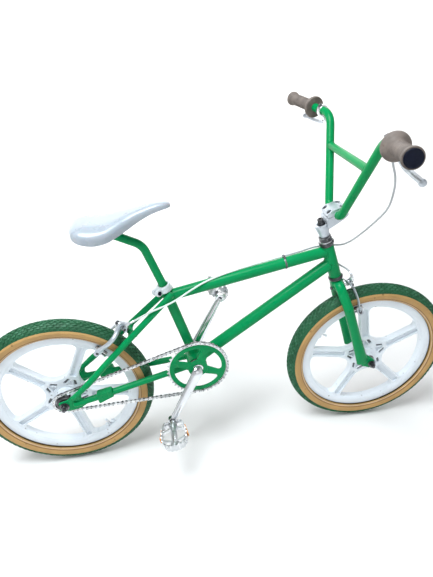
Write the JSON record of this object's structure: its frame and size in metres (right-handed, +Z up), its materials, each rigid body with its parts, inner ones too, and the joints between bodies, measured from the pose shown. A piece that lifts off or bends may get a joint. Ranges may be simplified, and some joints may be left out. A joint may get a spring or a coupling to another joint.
{
  "type": "bmx bike",
  "caption": "Small-wheeled BMX bicycle with composite spoked wheels, rising handlebar with a crossbar, cranks, chain drive, side-pull brakes and a moulded saddle.",
  "frame": {"origin": "on the ground, midway between the two axles, in the plane of the frame", "axes": "+X forward, +Y to the rider's left, +Z up"},
  "size_m": [1.4471, 0.7555, 1.0068],
  "materials": {
    "frame_paint": "gloss",
    "bar_paint": "gloss",
    "white_composite": "satin",
    "tread_rubber": "matte",
    "inner_rubber": "matte",
    "chrome": "polished",
    "silver_alloy": "satin",
    "dark_steel": "satin",
    "grip_rubber": "matte",
    "plug_plastic": "gloss",
    "saddle_plastic": "satin",
    "cable_housing": "satin",
    "white_housing": "satin"
  },
  "bodies": {
    "main_frame": {"head_tube": "frame_paint", "top_tube": "frame_paint", "down_tube": "frame_paint", "seat_tube": "frame_paint", "bottom_bracket_shell": "frame_paint", "chain_stay_right": "frame_paint", "chain_stay_left": "frame_paint", "seat_stays": "frame_paint", "seat_clamp": "silver_alloy", "seat_post": "frame_paint", "saddle_clamp": "dark_steel", "saddle": "saddle_plastic", "bearing_cup_right": "dark_steel", "bearing_cup_left": "dark_steel", "headset_cup_lower": "frame_paint", "headset_cup_upper": "dark_steel", "rear_axle": "dark_steel", "rear_axle_nut_right": "dark_steel", "rear_axle_nut_left": "dark_steel", "chain": "silver_alloy", "rear_brake_bolt": "dark_steel", "rear_brake_cable": "white_housing", "rear_brake_cable_loop": "cable_housing", "cable_clip": "dark_steel"},
    "rear_wheel": {"rear_mag_wheel": "white_composite", "rear_tyre": "tread_rubber", "rear_inner_tube": "inner_rubber"},
    "freewheel": {"freewheel": "dark_steel"},
    "crank_set": {"crank": "chrome", "chainring": "frame_paint", "pedal_spindle_right": "dark_steel", "pedal_spindle_left": "dark_steel"},
    "right_pedal": {"pedal_cage_right": "silver_alloy"},
    "left_pedal": {"pedal_cage_left": "silver_alloy"},
    "rear_arm_outer": {"rear_brake_arm_outer": "silver_alloy"},
    "rear_arm_inner": {"rear_brake_arm_inner": "silver_alloy"},
    "steering": {"fork": "frame_paint", "headset_locknut": "dark_steel", "stem": "silver_alloy", "expander_bolt": "dark_steel", "stem_cap": "silver_alloy", "handlebar": "bar_paint", "grip_right": "grip_rubber", "grip_left": "grip_rubber", "grip_plug_right": "plug_plastic", "grip_plug_left": "plug_plastic", "lever_mount_right": "silver_alloy", "lever_mount_left": "silver_alloy", "front_axle": "dark_steel", "front_axle_nut_right": "dark_steel", "front_axle_nut_left": "dark_steel", "front_brake_bolt": "dark_steel", "front_brake_cable": "cable_housing"},
    "front_wheel": {"front_mag_wheel": "white_composite", "front_tyre": "tread_rubber", "front_inner_tube": "inner_rubber"},
    "right_lever": {"brake_lever_right": "silver_alloy"},
    "left_lever": {"brake_lever_left": "silver_alloy"},
    "front_arm_outer": {"front_brake_arm_outer": "silver_alloy"},
    "front_arm_inner": {"front_brake_arm_inner": "silver_alloy"}
  },
  "joints": [
    {"name": "steering_turn", "type": "hinge", "parent": "main_frame", "child": "steering", "pos_m": [0.44336, 0, 0.2476], "axis": [-0.3256, 0, 0.9455], "range_deg": [-57, 62], "deforming": ["rear_brake_cable_loop"]},
    {"name": "front_wheel_spin", "type": "hinge", "parent": "steering", "child": "front_wheel", "pos_m": [0.46772, -0.0012, 0.25599], "axis": [0.044, 0.9989, 0.0152], "continuous": true},
    {"name": "rear_wheel_spin", "type": "hinge", "parent": "main_frame", "child": "rear_wheel", "pos_m": [-0.46775, 0, 0.256], "axis": [0, 1, 0], "continuous": true},
    {"name": "crank_spin", "type": "hinge", "parent": "main_frame", "child": "crank_set", "pos_m": [-0.07775, 0, 0.32], "axis": [0, 1, 0], "continuous": true},
    {"name": "freewheel_spin", "type": "hinge", "parent": "main_frame", "child": "freewheel", "pos_m": [-0.46775, 0, 0.256], "axis": [0, 1, 0], "continuous": true},
    {"name": "right_pedal_spin", "type": "hinge", "parent": "crank_set", "child": "right_pedal", "pos_m": [-0.16781, 0, 0.16588], "axis": [0, 1, 0], "continuous": true},
    {"name": "left_pedal_spin", "type": "hinge", "parent": "crank_set", "child": "left_pedal", "pos_m": [0.01231, 0, 0.47412], "axis": [0, 1, 0], "continuous": true},
    {"name": "right_lever_pull", "type": "hinge", "parent": "steering", "child": "right_lever", "pos_m": [0.33462, -0.22567, 0.94097], "axis": [-0.81, 0.206, -0.549], "range_deg": [0, 12], "stiffness_Nm_per_rad": 0.5},
    {"name": "left_lever_pull", "type": "hinge", "parent": "steering", "child": "left_lever", "pos_m": [0.35397, 0.21325, 0.94763], "axis": [0.8243, 0.1172, 0.5539], "range_deg": [0, 12], "stiffness_Nm_per_rad": 0.5},
    {"name": "rear_arm_outer_close", "type": "hinge", "parent": "main_frame", "child": "rear_arm_outer", "pos_m": [-0.25766, 0, 0.44561], "axis": [-0.67, 0, 0.7424], "range_deg": [-1.6, 0]},
    {"name": "rear_arm_inner_close", "type": "hinge", "parent": "main_frame", "child": "rear_arm_inner", "pos_m": [-0.25766, 0, 0.44561], "axis": [-0.67, 0, 0.7424], "range_deg": [0, 1.6]},
    {"name": "front_arm_outer_close", "type": "hinge", "parent": "steering", "child": "front_arm_outer", "pos_m": [0.34992, 0, 0.51896], "axis": [0.9445, -0.0466, 0.3252], "range_deg": [0, 1.6]},
    {"name": "front_arm_inner_close", "type": "hinge", "parent": "steering", "child": "front_arm_inner", "pos_m": [0.34992, 0, 0.51896], "axis": [0.9445, -0.0466, 0.3252], "range_deg": [-1.6, 0]}
  ],
  "couplings": [
    {"joint": "freewheel_spin", "follows": "crank_spin", "ratio": 2.75},
    {"joint": "rear_arm_outer_close", "follows": "right_lever_pull", "ratio": -0.125},
    {"joint": "rear_arm_inner_close", "follows": "right_lever_pull", "ratio": 0.125},
    {"joint": "front_arm_outer_close", "follows": "left_lever_pull", "ratio": 0.125},
    {"joint": "front_arm_inner_close", "follows": "left_lever_pull", "ratio": -0.125}
  ]
}
